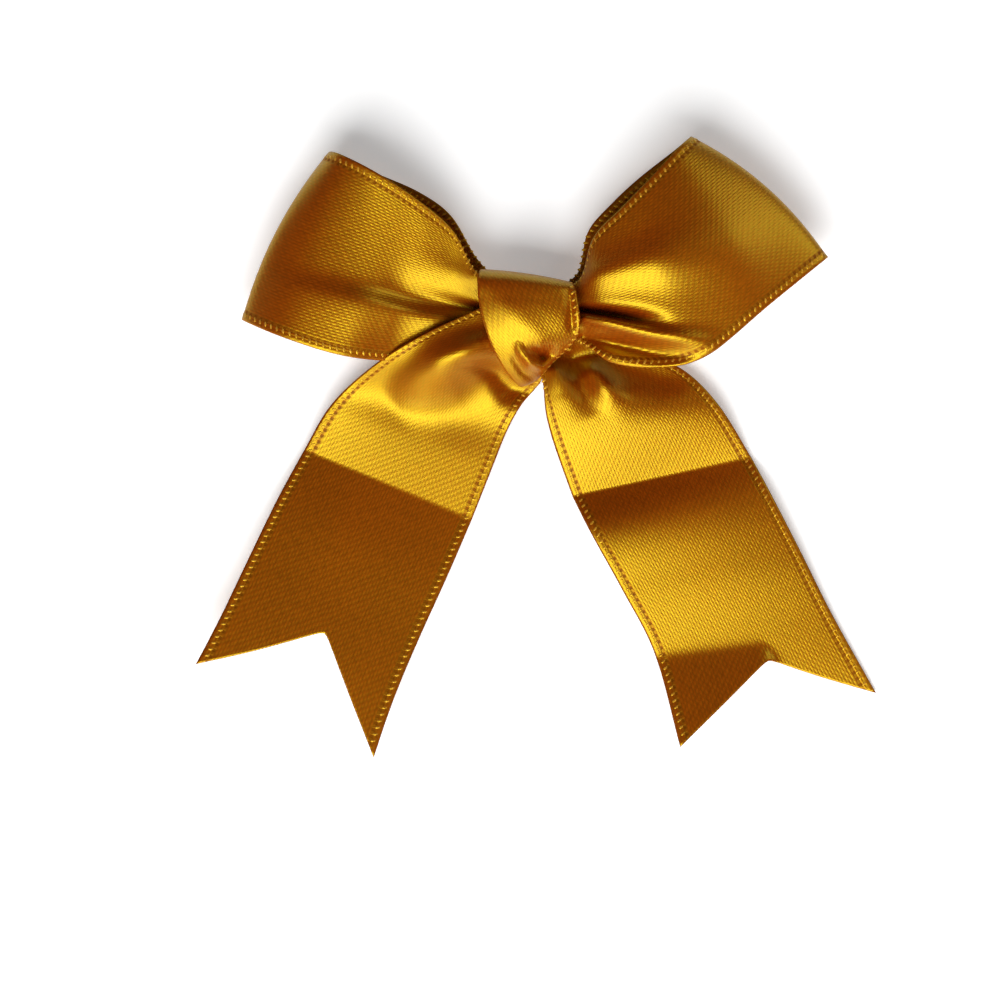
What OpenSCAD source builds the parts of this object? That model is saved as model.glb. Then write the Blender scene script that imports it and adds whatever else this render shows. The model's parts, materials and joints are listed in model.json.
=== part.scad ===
// Gift bow tied from one length of satin ribbon: two loops, a knot and two
// swallow-tail ends, on a stick-on foam pad with its release liner.
// The bow lies on its back. +Z faces the viewer and +Y is the top of the bow.
// The origin is the middle of the stick-on face, under the knot.

/* [Ribbon] */
// Width of the ribbon, which sets the size of the whole bow
ribbon_w = 25; // [19:1:38]
// Thickness of the ribbon as a solid, with the air that its creases hold
ribbon_t = 0.4; // [0.3:0.05:0.5]
// Depth of the swallow-tail cut in the left tail, as a share of its loose end
left_notch = 0.36; // [0.1:0.01:0.5]
// Depth of the swallow-tail cut in the right tail, as a share of its loose end
right_notch = 0.23; // [0.1:0.01:0.5]

/* [Knot] */
// Number of pleats in the gathered ribbon inside the knot
pleats = 11; // [7:1:15]
// Depth of those pleats
pleat_depth = 0.35; // [0.1:0.05:0.5]

/* [Stick-on pad] */
// Diameter of the foam pad
pad_d = 10; // [6:0.5:10]
// Thickness of the foam pad
pad_t = 1.2; // [0.8:0.1:1.2]
// Diameter of the release liner
liner_d = 12; // [11:0.5:13]
// Thickness of the release liner
liner_t = 0.2; // [0.1:0.05:0.2]
// Length of the liner's pull tab beyond its disc
tab_len = 4; // [2:0.5:5]
// Width of the liner's pull tab
tab_w = 5; // [4:0.5:6]

/* [Hidden] */

GOLD = "goldenrod";
DARK_GOLD = "darkgoldenrod";
$fn = 64;

// Every place below is given for a 25 mm ribbon and grows with its width.
drawn_w = 25;
s = ribbon_w / drawn_w;

// Half the gap that a fold line leaves between the two stretches it joins
fold_gap = 0.35;
// Cells along and across each stretch
cells_u = 18;
cells_v = 8;

// A stretch of ribbon is a list of rungs: one edge, the other edge, and how
// far the middle of the ribbon bows out of the straight line between them.
left_loop = [
  [[ -7.4,  6.4,  7.8], [ -7.4, -3.0,  5.8], [ 0.0, 0.0, 1.4]],
  [[-10.0, 11.6,  9.2], [-11.5, -4.6,  6.6], [ 0.0, 0.0, 1.4]],
  [[-15.0, 15.8, 10.0], [-18.0, -5.4,  7.4], [ 0.0, 0.0, 1.0]],
  [[-20.5, 19.4,  9.8], [-25.5, -4.8,  7.8], [ 0.0, 0.0, 0.8]],
  [[-25.4, 22.0,  8.0], [-34.0, -2.0,  7.4], [-0.6, 0.0, 0.6]],
  [[-27.2, 22.9,  5.2], [-39.2,  0.2,  4.8], [-1.0, -0.4, 0.0]],
  [[-25.2, 22.2,  2.6], [-34.0, -1.4,  2.0], [-0.4, 0.0, -0.4]],
  [[-20.2, 20.2,  1.6], [-26.0, -4.0,  1.0], [ 0.0, 0.0, -0.2]],
  [[-15.0, 17.6,  1.8], [-18.0, -4.8,  1.2], [ 0.0, 0.0, -0.2]],
  [[-10.8, 13.6,  2.8], [-11.5, -4.2,  2.2], [ 0.0, 0.0, 0.0]],
  [[ -7.4,  7.6,  4.2], [ -7.4, -2.8,  3.6], [ 0.0, 0.0, 0.0]]];
right_loop = [
  [[  7.4,  5.6,  8.2], [  7.6, -3.2,  7.8], [ 0.0, 0.0, 1.2]],
  [[  9.0, 10.9,  9.8], [ 11.2, -6.0,  9.2], [ 0.0, 0.0, 1.4]],
  [[ 12.6, 14.8, 11.0], [ 17.4, -6.6, 10.2], [ 0.0, 0.0, 1.6]],
  [[ 16.0, 18.5, 11.4], [ 23.8, -5.2, 10.8], [ 0.0, 0.0, 1.4]],
  [[ 20.0, 22.6, 10.0], [ 32.4,  1.6, 10.2], [ 0.4, 0.2, 0.8]],
  [[ 22.1, 24.9,  7.2], [ 40.8,  8.6,  7.2], [ 0.8, 0.8, 0.0]],
  [[ 19.8, 23.0,  4.8], [ 33.0,  2.4,  5.0], [ 0.2, 0.2, -0.4]],
  [[ 15.6, 19.4,  4.2], [ 24.0, -4.6,  4.4], [ 0.0, 0.0, -0.2]],
  [[ 12.0, 15.8,  4.2], [ 17.4, -5.8,  4.6], [ 0.0, 0.0, 0.0]],
  [[  8.6, 11.8,  4.6], [ 11.2, -5.0,  4.8], [ 0.0, 0.0, 0.0]],
  [[  7.4,  6.4,  5.0], [  7.6, -2.8,  5.2], [ 0.0, 0.0, 0.0]]];
left_tail_out = [
  [[ -7.6,  3.0, 10.2], [ -3.0, -8.8,  6.4], [-0.6, -0.6, 1.4]],
  [[-13.4, -1.2, 10.6], [ -1.4, -10.2, 6.0], [-0.6, -0.6, 1.8]],
  [[-19.2, -4.8, 10.8], [ -1.6, -12.2, 5.2], [ 0.0, 0.0, 2.0]],
  [[-24.5, -8.8,  8.8], [ -2.9, -15.2, 4.0], [ 0.0, 0.0, 1.6]],
  [[-27.8, -12.4, 6.0], [ -4.8, -20.0, 2.6], [ 0.0, 0.0, 0.8]],
  [[-31.0, -17.6, 1.2], [ -7.8, -27.3, 0.6], [ 0.0, 0.0, 0.0]]];
left_tail_tip = [
  [[-31.0, -17.6, 1.2], [ -7.8, -27.3, 0.6], [ 0.0, 0.0, 0.0]],
  [[-34.5, -24.4, 2.2], [-11.2, -35.2, 1.4], [ 0.0, 0.0, 0.4]],
  [[-38.2, -32.2, 2.6], [-15.0, -43.6, 1.8], [ 0.0, 0.0, 0.6]],
  [[-42.0, -40.0, 2.8], [-18.4, -51.8, 2.2], [ 0.0, 0.0, 0.6]],
  [[-45.4, -46.9, 3.0], [-21.1, -59.8, 2.6], [ 0.0, 0.0, 0.6]]];
right_tail_out = [
  [[  1.0, -9.0, 5.0], [  9.0, -3.8, 2.6], [ 0.0, 0.0, 0.0]],
  [[  1.6, -10.6, 4.8], [ 15.6, -4.4, 2.4], [ 0.0, 0.0, 0.2]],
  [[  2.4, -13.0, 4.2], [ 21.4, -6.4, 2.2], [ 0.0, 0.0, 0.4]],
  [[  3.6, -17.2, 3.0], [ 26.4, -11.4, 1.8], [ 0.0, 0.0, 0.4]],
  [[  6.2, -24.0, 0.6], [ 31.0, -18.6, 0.6], [ 0.0, 0.0, 0.0]]];
right_tail_tip = [
  [[  6.2, -24.0, 0.6], [ 31.0, -18.6, 0.6], [ 0.0, 0.0, 0.0]],
  [[  9.2, -30.2, 2.6], [ 34.0, -24.6, 2.4], [ 0.0, 0.0, 0.4]],
  [[ 13.0, -36.8, 2.8], [ 37.6, -31.4, 2.4], [ 0.0, 0.0, 0.4]],
  [[ 17.6, -45.8, 1.2], [ 42.2, -40.4, 1.4], [ 0.0, 0.0, 0.2]],
  [[ 20.8, -58.6, 3.6], [ 48.4, -51.3, 0.8], [ 0.0, 0.0, 0.0]]];
// The band that wraps the knot, over the front and back up behind
band_round = [
  [[-6.4,  6.6, 6.6], [ 5.8,  5.6, 6.6], [ 0, 0.4, 0.0]],
  [[-6.7,  3.6, 9.2], [ 6.6,  3.4, 9.0], [ 0, 0.2, 0.6]],
  [[-5.8, -1.6, 9.6], [ 6.8, -1.6, 9.2], [ 0, 0.0, 0.8]],
  [[-3.4, -6.0, 8.8], [ 4.6, -4.6, 8.0], [ 0, -0.4, 0.6]],
  [[-2.2, -8.0, 5.4], [ 2.8, -7.2, 5.2], [ 0, -0.6, 0.0]],
  [[-3.8, -6.2, 2.2], [ 3.8, -6.0, 2.2], [ 0, -0.2, 0.0]],
  [[-5.0,  0.0, 1.7], [ 5.0,  0.0, 1.7], [ 0, 0.0, 0.0]],
  [[-6.0,  5.6, 2.4], [ 5.6,  5.2, 2.4], [ 0, 0.2, 0.0]]];
// The gathered ribbon inside the knot: length, half height, half depth, height of its middle
core_len = 12.4;
core_half_y = 4.6;
core_half_z = 2.6;
core_z = 5.5;
// The outer fold of a loop is half way along its rungs
loop_fold = 0.5;
// Where the cut of each tail reaches furthest in, as a share of the ribbon's width
left_notch_at = 0.53;
right_notch_at = 0.57;
// Points round the outline of the gathered core
core_points = 88;

function blend4(a, b, c, d, t) =
  0.5 * (2 * b + (c - a) * t + (2 * a - 5 * b + 4 * c - d) * t * t
         + (3 * b - a - 3 * c + d) * t * t * t);

// One rung at u, from 0 at the first rung to 1 at the last
function rung(rungs, u, closed) =
  let (n = len(rungs), spans = closed ? n : n - 1, at = u * spans,
       i = closed ? floor(at) : min(floor(at), spans - 1), t = at - i)
  [for (k = [0:2])
    let (a = closed ? rungs[(i - 1 + n) % n][k]
                    : (i > 0 ? rungs[i - 1][k] : 2 * rungs[0][k] - rungs[1][k]),
         b = rungs[i % n][k],
         c = rungs[(i + 1) % n][k],
         d = closed ? rungs[(i + 2) % n][k]
                    : (i + 2 < n ? rungs[i + 2][k] : 2 * rungs[n - 1][k] - rungs[n - 2][k]))
    blend4(a, b, c, d, t)];

function place(rungs, u, v, closed) =
  let (r = rung(rungs, u, closed))
  s * (r[0] + (r[1] - r[0]) * v + 4 * v * (1 - v) * r[2]);

function unit(a) = a / norm(a);

// The ribbon's own square direction at a place on it
function facing(rungs, u, v, closed) =
  let (e = 0.004,
       u0 = closed ? u : max(u - e, 0), u1 = closed ? u + 2 * e : min(u + e, 1),
       v0 = max(v - e, 0), v1 = min(v + e, 1))
  unit(cross(place(rungs, u1, v, closed) - place(rungs, u0, v, closed),
             place(rungs, u, v1, closed) - place(rungs, u, v0, closed)));

// How far along the stretch a line of the grid runs, with an end cut to a V
function along(u, v, start, finish, cut, cut_at) =
  let (side = v < cut_at ? v / cut_at : (1 - v) / (1 - cut_at))
  start + (finish - start - cut * side) * u;

// A stretch of ribbon as one thin closed solid
module ribbon(rungs, closed = false, start = 0, finish = 1, cut = 0, cut_at = 0.5) {
  half = ribbon_t / 2;
  rows = closed ? cells_u : cells_u + 1;
  cols = cells_v + 1;
  across = [for (j = [0:cells_v])
    j <= cells_v / 2 ? 2 * j / cells_v * cut_at
                     : cut_at + (2 * j / cells_v - 1) * (1 - cut_at)];
  grid = [for (i = [0:rows - 1]) for (v = across)
    let (u = along(i / cells_u, v, start, finish, cut, cut_at))
    [place(rungs, u, v, closed), facing(rungs, u, v, closed) * half]];
  count = rows * cols;
  points = concat([for (g = grid) g[0] + g[1]], [for (g = grid) g[0] - g[1]]);
  function at(i, j, under) = (i % rows) * cols + j + (under ? count : 0);
  function quad(a, b, c, d) = [[a, b, c], [a, c, d]];
  spans = closed ? rows : rows - 1;
  faces = concat(
    [for (i = [0:spans - 1]) for (j = [0:cells_v - 1])
      each quad(at(i, j, false), at(i, j + 1, false), at(i + 1, j + 1, false), at(i + 1, j, false))],
    [for (i = [0:spans - 1]) for (j = [0:cells_v - 1])
      each quad(at(i, j, true), at(i + 1, j, true), at(i + 1, j + 1, true), at(i, j + 1, true))],
    [for (i = [0:spans - 1])
      each quad(at(i, 0, false), at(i + 1, 0, false), at(i + 1, 0, true), at(i, 0, true))],
    [for (i = [0:spans - 1])
      each quad(at(i, cells_v, false), at(i, cells_v, true),
                at(i + 1, cells_v, true), at(i + 1, cells_v, false))],
    closed ? [] : [for (j = [0:cells_v - 1])
      each quad(at(0, j, false), at(0, j, true), at(0, j + 1, true), at(0, j + 1, false))],
    closed ? [] : [for (j = [0:cells_v - 1])
      each quad(at(rows - 1, j, false), at(rows - 1, j + 1, false),
                at(rows - 1, j + 1, true), at(rows - 1, j, true))]);
  polyhedron(points, faces, convexity = 6);
}

// The share of a stretch that the fold gap takes off its end
function gap_share(rungs) =
  fold_gap / norm(place(rungs, 1, 0.5, false) - place(rungs, 0, 0.5, false));

module knot_band() { color(GOLD) ribbon(band_round, closed = true); }

// The pleats show as ripples round the outline of the gathered ribbon
function ripple(a) = 1 - pleat_depth / core_half_z * pow(sin(pleats * a / 2), 2);

module knot_core() {
  color(DARK_GOLD)
    translate([-core_len / 2 * s, 0, core_z * s]) rotate([90, 0, 90])
      linear_extrude(height = core_len * s)
        polygon([for (i = [0:core_points - 1])
          let (a = 360 * i / core_points)
          s * ripple(a) * [core_half_y * cos(a), core_half_z * sin(a)]]);
}

module left_loop_front() { color(GOLD) ribbon(left_loop, finish = loop_fold); }
module left_loop_back() { color(DARK_GOLD) ribbon(left_loop, start = loop_fold); }
module right_loop_front() { color(GOLD) ribbon(right_loop, finish = loop_fold); }
module right_loop_back() { color(DARK_GOLD) ribbon(right_loop, start = loop_fold); }

module left_tail_upper() { color(GOLD) ribbon(left_tail_out, finish = 1 - gap_share(left_tail_out)); }
module left_tail_end() {
  color(DARK_GOLD)
    ribbon(left_tail_tip, start = gap_share(left_tail_tip), cut = left_notch, cut_at = left_notch_at);
}
module right_tail_upper() { color(GOLD) ribbon(right_tail_out, finish = 1 - gap_share(right_tail_out)); }
module right_tail_end() {
  color(DARK_GOLD)
    ribbon(right_tail_tip, start = gap_share(right_tail_tip), cut = right_notch, cut_at = right_notch_at);
}

module foam_pad() { color("white") translate([0, 0, liner_t]) cylinder(h = pad_t, d = pad_d); }

module release_liner() {
  color("ivory") union() {
    cylinder(h = liner_t, d = liner_d);
    translate([-liner_d / 2 - tab_len, -tab_w / 2, 0]) cube([liner_d / 2 + tab_len, tab_w, liner_t]);
  }
}

knot_band();
knot_core();
left_loop_front();
left_loop_back();
right_loop_front();
right_loop_back();
left_tail_upper();
left_tail_end();
right_tail_upper();
right_tail_end();
foam_pad();
release_liner();
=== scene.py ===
"""Looks of a gift bow tied from one satin ribbon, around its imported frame.

The file is laid out as a Blender add-on and runs as a script. Sizes in the tables are millimetres on
a bow of 25 mm ribbon, in the frame's own axes: +Z out of the front, +Y to the tops of the loops.
"""

import json
import math

import bpy
import numpy as np
from bpy.props import FloatProperty, FloatVectorProperty, PointerProperty
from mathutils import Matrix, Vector


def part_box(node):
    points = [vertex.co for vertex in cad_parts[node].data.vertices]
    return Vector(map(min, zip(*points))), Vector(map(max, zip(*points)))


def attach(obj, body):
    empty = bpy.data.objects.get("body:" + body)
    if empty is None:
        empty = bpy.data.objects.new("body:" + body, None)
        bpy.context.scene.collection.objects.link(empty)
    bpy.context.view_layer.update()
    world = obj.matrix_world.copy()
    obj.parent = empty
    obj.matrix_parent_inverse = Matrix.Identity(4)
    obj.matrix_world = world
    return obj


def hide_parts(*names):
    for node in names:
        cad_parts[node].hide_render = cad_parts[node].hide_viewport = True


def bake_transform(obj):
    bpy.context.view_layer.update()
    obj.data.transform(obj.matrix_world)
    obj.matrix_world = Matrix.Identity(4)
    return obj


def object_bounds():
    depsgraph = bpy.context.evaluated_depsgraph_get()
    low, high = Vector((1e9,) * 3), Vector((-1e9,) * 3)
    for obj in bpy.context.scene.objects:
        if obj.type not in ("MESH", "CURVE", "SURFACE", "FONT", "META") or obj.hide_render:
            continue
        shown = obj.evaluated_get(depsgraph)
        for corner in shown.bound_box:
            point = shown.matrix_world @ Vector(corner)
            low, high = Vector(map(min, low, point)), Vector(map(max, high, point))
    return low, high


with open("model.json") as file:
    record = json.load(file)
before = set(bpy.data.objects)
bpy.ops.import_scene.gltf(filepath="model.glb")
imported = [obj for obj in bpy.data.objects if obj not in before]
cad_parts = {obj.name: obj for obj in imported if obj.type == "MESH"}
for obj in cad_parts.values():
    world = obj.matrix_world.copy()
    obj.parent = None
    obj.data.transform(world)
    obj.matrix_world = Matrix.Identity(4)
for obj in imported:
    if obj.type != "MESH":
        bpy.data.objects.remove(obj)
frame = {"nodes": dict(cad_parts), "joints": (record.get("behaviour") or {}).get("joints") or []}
CAD_LOW, CAD_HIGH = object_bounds()

bl_info = {
    "name": "Satin gift bow",
    "version": (1, 0, 0),
    "blender": (4, 5, 0),
    "location": "View3D > Sidebar > Gift bow",
    "description": "Makes the ribbon, knot, selvage and stick-on pad of a tied satin bow",
    "category": "Object",
}

# The bow's span from tail tip to tail tip as drawn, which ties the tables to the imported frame
DRAWN_SPAN = 93.83
MM = (CAD_HIGH.x - CAD_LOW.x) / DRAWN_SPAN
RIBBON_WIDTH = 25.0
# Length of ribbon that one unit of the UV map's second axis stands for
UV_LENGTH = 200.0
# From one thread of a cloth net to the next, and how finely a course is drawn between two rungs
CELL = 0.4
SAMPLES = 60
# How firmly a net is held to its drawn place: everywhere, at the knot, along an edge, along a crease
LOOSE, KNOT_GRIP, EDGE_GRIP, CREASE_GRIP = 0.05, 0.5, 0.12, 0.3
# How much of a stretched thread's error one pass takes out: along and across, and on the bias
THREAD_PULL, BIAS_PULL = 0.45, 0.24

# -------------------- the ribbon's course
# A rung is one edge, the other edge, and how far the middle bows out of the line between them.
LEFT_LOOP = [
    ((-3.0, 4.4, 7.2), (-4.4, -2.4, 6.0), (0, 0, 0.4)),
    ((-7.2, 6.6, 7.2), (-7.4, -3.0, 5.0), (0, 0, 0.3)),
    ((-10.2, 12.0, 7.9), (-11.5, -4.6, 4.5), (0, 0, 0.4)),
    ((-15.0, 16.0, 9.7), (-18.0, -5.4, 4.9), (0, 0, 0.2)),
    ((-20.5, 19.6, 10.9), (-25.5, -4.9, 9.0), (0, 0, -0.6)),
    ((-25.4, 22.3, 9.4), (-33.6, -2.4, 9.3), (-0.8, 0.2, -0.5)),
    ((-27.2, 23.0, 5.6), (-39.2, 0.2, 5.4), (-1.4, 0.6, 0)),
    ((-25.2, 22.4, 2.6), (-34.0, -1.4, 2.0), (-0.4, 0, -0.4)),
    ((-20.2, 20.4, 1.4), (-26.0, -4.0, 1.0), (0, 0, -0.2)),
    ((-15.0, 18.0, 1.6), (-18.0, -4.8, 1.2), (0, 0, -0.2)),
    ((-10.6, 14.6, 2.6), (-11.5, -4.2, 2.2), (0, 0, 0)),
    ((-7.0, 8.6, 4.2), (-7.2, -2.8, 3.6), (0, 0, 0)),
    ((-3.0, 4.6, 5.0), (-4.4, -2.4, 4.2), (0, 0, 0)),
]
RIGHT_LOOP = [
    ((3.0, 4.0, 7.6), (4.4, -2.6, 6.8), (0, 0, 0.6)),
    ((7.0, 5.4, 8.2), (7.4, -3.0, 7.6), (0, 0, 1.2)),
    ((8.8, 10.9, 10.0), (11.2, -5.8, 9.4), (0, 0, 1.2)),
    ((12.6, 14.8, 11.2), (17.4, -6.5, 10.4), (0, 0, 1.2)),
    ((16.2, 18.6, 11.4), (23.8, -5.2, 10.8), (0, 0, 1.2)),
    ((20.2, 23.0, 10.2), (32.4, 1.8, 10.2), (0.6, 0.4, 0.9)),
    ((22.1, 24.9, 7.4), (40.8, 8.6, 7.2), (1.4, 1.3, 0)),
    ((19.8, 23.2, 4.8), (33.0, 2.6, 4.8), (0.2, 0.2, -0.4)),
    ((15.4, 19.8, 4.0), (24.0, -4.2, 4.2), (0, 0, -0.2)),
    ((11.6, 16.2, 4.0), (17.4, -5.2, 4.4), (0, 0, 0)),
    ((8.2, 12.2, 4.6), (11.2, -4.4, 4.6), (0, 0, 0)),
    ((6.8, 6.6, 5.2), (7.2, -2.6, 5.2), (0, 0, 0)),
    ((3.0, 4.2, 5.6), (4.4, -2.4, 5.4), (0, 0, 0)),
]
LEFT_TAIL = [
    ((-4.6, 2.6, 7.0), (0.8, -4.6, 5.6), (0, 0, 0.2)),
    ((-7.2, 1.3, 8.0), (1.9, -7.6, 5.0), (0, 0, 0.5)),
    ((-13.4, -1.6, 7.9), (0.9, -9.2, 4.6), (0, 0, 0.3)),
    ((-19.2, -4.9, 6.4), (-0.9, -11.2, 3.7), (0, 0, -0.9)),
    ((-24.5, -8.8, 3.6), (-2.9, -14.8, 2.3), (0, 0, -0.6)),
    ((-27.9, -12.4, 2.5), (-4.9, -19.9, 1.6), (0, 0, -0.2)),
    ((-31.0, -17.6, 1.2), (-7.8, -27.3, 0.6), (0, 0, 0)),
    ((-34.5, -24.2, 2.6), (-11.2, -35.2, 2.0), (0, 0, 0.2)),
    ((-38.1, -31.8, 3.9), (-15.0, -43.6, 3.3), (0, 0, 0.2)),
    ((-41.9, -40.0, 5.3), (-18.4, -51.8, 4.7), (0, 0, 0.2)),
    ((-45.4, -46.9, 6.6), (-21.1, -59.8, 6.0), (0, 0, 0)),
]
RIGHT_TAIL = [
    ((1.0, -4.6, 5.0), (5.4, -1.0, 3.4), (0, 0, 0.2)),
    ((2.0, -8.4, 5.2), (9.0, -3.2, 2.6), (0, 0, 0.4)),
    ((2.3, -10.8, 5.0), (15.6, -4.4, 2.4), (0, 0, 0.7)),
    ((2.7, -13.4, 4.4), (21.4, -6.6, 2.5), (0, 0, 1.0)),
    ((3.9, -17.6, 3.0), (26.4, -11.6, 2.6), (0, 0, 0.7)),
    ((6.2, -24.0, 0.6), (31.0, -18.6, 0.6), (0, 0, 0)),
    ((8.7, -29.1, 2.9), (33.5, -23.5, 2.0), (0, 0, 0.3)),
    ((13.0, -36.8, 2.0), (37.6, -31.4, 1.7), (0, 0, 0.3)),
    ((17.6, -45.8, 0.6), (42.2, -40.4, 0.9), (0, 0, 0.1)),
    ((20.8, -58.6, -1.2), (48.4, -51.3, 0.5), (0, 0, 0)),
]
# The rung that lies on each tail's pressed crease
LEFT_CREASE, RIGHT_CREASE = 6, 5
# Where each swallow-tail cut reaches furthest in: share of the width, share of the loose end
LEFT_NOTCH, RIGHT_NOTCH = (0.53, 0.36), (0.57, 0.23)

# -------------------- cloth


def spline(rows, spots):
    """Smooth curve through the rows at spots counted in rows from the first."""
    rows = np.asarray(rows, float)
    ends = np.vstack([2 * rows[:1] - rows[1:2], rows, 2 * rows[-1:] - rows[-2:-1]])
    i = np.clip(np.floor(spots).astype(int), 0, len(rows) - 2)
    t = (np.asarray(spots) - i)[:, None]
    a, b, c, d = ends[i], ends[i + 1], ends[i + 2], ends[i + 3]
    return 0.5 * (2 * b + (c - a) * t + (2 * a - 5 * b + 4 * c - d) * t ** 2
                  + (3 * b - a - 3 * c + d) * t ** 3)


def smooth(x):
    """0 below 0, 1 above 1, smooth between."""
    x = np.clip(x, 0, 1)
    return x * x * (3 - 2 * x)


def rise(points, course, width, height, mask=1.0, spread=1.0):
    """Lifts points along a course in plan. The shoulder on its left is wider by the spread."""
    course = np.array(course, float)
    lengths = np.linalg.norm(np.diff(course, axis=0), axis=1)
    reach = np.concatenate([[0], np.cumsum(lengths)]) / lengths.sum()
    nearest = np.full(points.shape[:2], 1e9)
    share = np.zeros(points.shape[:2])
    wider = np.ones(points.shape[:2])
    for a, b, low, high in zip(course, course[1:], reach, reach[1:]):
        rel, line = points[..., :2] - a, b - a
        t = np.clip(rel @ line / (line @ line), 0, 1)
        gap = np.linalg.norm(points[..., :2] - a - t[..., None] * (b - a), axis=-1)
        on_left = line[0] * rel[..., 1] > line[1] * rel[..., 0]
        closer = gap < nearest
        nearest = np.where(closer, gap, nearest)
        share = np.where(closer, low + (high - low) * t, share)
        wider = np.where(closer, np.where(on_left, spread, 1), wider)
    w = np.interp(share, np.linspace(0, 1, len(width)), width)
    h = np.interp(share, np.linspace(0, 1, len(height)), height)
    points[..., 2] += mask * h * np.exp(-(nearest / w / wider) ** 2)


class Cloth:
    """A net of cloth points: where they are, and where they lie on the flat ribbon."""

    def __init__(self, rungs, crease=None, notch=None):
        # The course is drawn finely, with a sharp turn at the crease
        table = np.array([np.concatenate(r) for r in rungs], float)
        cuts = [0, len(rungs) - 1] if crease is None else [0, crease, len(rungs) - 1]
        part = np.concatenate([
            spline(table[low:high + 1], np.linspace(0, high - low, SAMPLES * (high - low) + 1))
            for low, high in zip(cuts, cuts[1:])])
        # Each edge keeps its own length on the flat ribbon
        steps = [np.linalg.norm(np.diff(part[:, k:k + 3], axis=0), axis=1) for k in (0, 3)]
        near, far = (np.concatenate([[0], np.cumsum(step)]) for step in steps)
        run = (near + far) / 2 + 1e-9 * np.arange(len(part))
        self.length = reach = run[-1]
        level = len(part) // 2 if crease is None else SAMPLES * crease
        lead = far - near
        heading = part[-1, 0:3] + part[-1, 3:6] - part[level, 0:3] - part[level, 3:6]
        slant = 0 if crease is None else ((part[level, 3:6] - part[level, 0:3]) @ heading
                                          / np.linalg.norm(heading))
        lead += slant - lead[level]
        # Rows of the net an even cell apart, one of them on the crease
        marks = [0, reach] if crease is None else [0, run[level], reach]
        rows = [np.linspace(a, b, max(2, round((b - a) / CELL)) + 1) for a, b in zip(marks, marks[1:])]
        self.crease_row = len(rows[0]) - 1 if crease is not None else None
        along = np.concatenate([rows[0]] + [r[1:] for r in rows[1:]])
        half = round(RIBBON_WIDTH / CELL / 2)
        at = notch[0] if notch else 0.5
        v = np.concatenate([np.linspace(0, at, half + 1), np.linspace(at, 1, half + 1)[1:]])
        s = np.repeat(along[:, None], len(v), 1)
        if notch:
            # The rows close up towards the swallow-tail cut
            last = marks[-2]
            side = np.where(v < at, v / at, (1 - v) / (1 - at))
            cut = notch[1] * (reach - last) * side
            share = np.clip((s - last) / (reach - last), 0, 1)
            s = s - cut[None, :] * share
        field = np.stack([np.interp(s, run, part[:, k]) for k in range(9)], -1)
        a, b, bow = field[..., 0:3], field[..., 3:6], field[..., 6:9]
        vv = v[None, :, None]
        self.v = v
        self.s = s
        self.points = a + (b - a) * vv + 4 * vv * (1 - vv) * bow
        ahead = np.interp(s, run, lead) * (v[None, :] - 0.5)
        self.flat = np.stack([np.repeat(v[None, :] * RIBBON_WIDTH, len(along), 0), s + ahead], -1)
        self.share = s / reach

    def press(self, course, width, height, mask=1.0, spread=1.0):
        """A ridge, or a valley below 0, along a course. Widths and heights run along it."""
        rise(self.points, course, width, height, mask, spread)

    def turn(self, start, end, slope, mask=1.0):
        """Bends all that lies beyond a line up by a slope. Beyond is to the right of start to end."""
        a, b = np.array(start, float), np.array(end, float)
        line = (b - a) / np.linalg.norm(b - a)
        rel = self.points[..., :2] - a
        beyond = np.clip(rel[..., 0] * line[1] - rel[..., 1] * line[0], 0, None)
        self.points[..., 2] += mask * slope * beyond

    def settle(self, hold, ease, rounds=160, stiff=0.12, floor=0.15):
        """Relaxes the net until its threads have their flat length again, held near its place.

        Where ease is 1 the ribbon is gathered, and its threads keep the length they were drawn with.
        """
        p, goal = self.points.copy(), self.points.copy()
        flat = self.flat
        pull = np.broadcast_to(hold, p.shape[:2])[..., None]
        crease = self.crease_row
        families = []
        n, m = p.shape[:2]
        for di, dj in ((0, 1), (1, 0), (1, 1), (1, -1)):
            rows_a = slice(0, n - di)
            cols_a = slice(max(0, -dj), m - max(0, dj))
            rows_b = slice(di, n)
            cols_b = slice(max(0, dj), m + min(0, dj))
            rest = np.linalg.norm(flat[rows_b, cols_b] - flat[rows_a, cols_a], axis=-1)[..., None]
            drawn = np.linalg.norm(p[rows_b, cols_b] - p[rows_a, cols_a], axis=-1)[..., None]
            rest += (drawn - rest) * ease[rows_a, cols_a][..., None]
            share = BIAS_PULL if di and dj else THREAD_PULL
            families.append((rows_a, cols_a, rows_b, cols_b, rest, share))
        for _ in range(rounds):
            p += pull * (goal - p)
            for ra, ca, rb, cb, rest, share in families:
                gap = p[rb, cb] - p[ra, ca]
                size = np.linalg.norm(gap, axis=-1, keepdims=True) + 1e-9
                push = share * 0.5 * (1 - rest / size) * gap
                p[ra, ca] += push
                p[rb, cb] -= push
            bend = np.zeros_like(p)
            bend[1:-1] += (p[:-2] + p[2:]) / 2 - p[1:-1]
            bend[:, 1:-1] += (p[:, :-2] + p[:, 2:]) / 2 - p[:, 1:-1]
            if crease is not None:
                bend[crease] = 0
            p += stiff * bend
            p[..., 2] = np.maximum(p[..., 2], floor)
        self.points = p

    def front(self):
        """1 on the front of a loop, 0 on its back."""
        return 1 - smooth((self.share - 0.44) / 0.08)

    def relax(self, near, gathered, firm=0.0):
        """Settles the net. Near is each point's distance from the knot along the ribbon.

        The grip of the knot fades over 5 mm, and its gathers over 14 mm from where they begin to.
        """
        hold = LOOSE + KNOT_GRIP * (1 - smooth((near - 1) / 5))
        hold = np.maximum(hold, firm)
        on_edge = np.minimum(self.v, 1 - self.v)[None, :] < 0.03
        hold = np.maximum(hold, EDGE_GRIP * on_edge)
        self.settle(hold, 1 - smooth((near - gathered) / 14))


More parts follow.
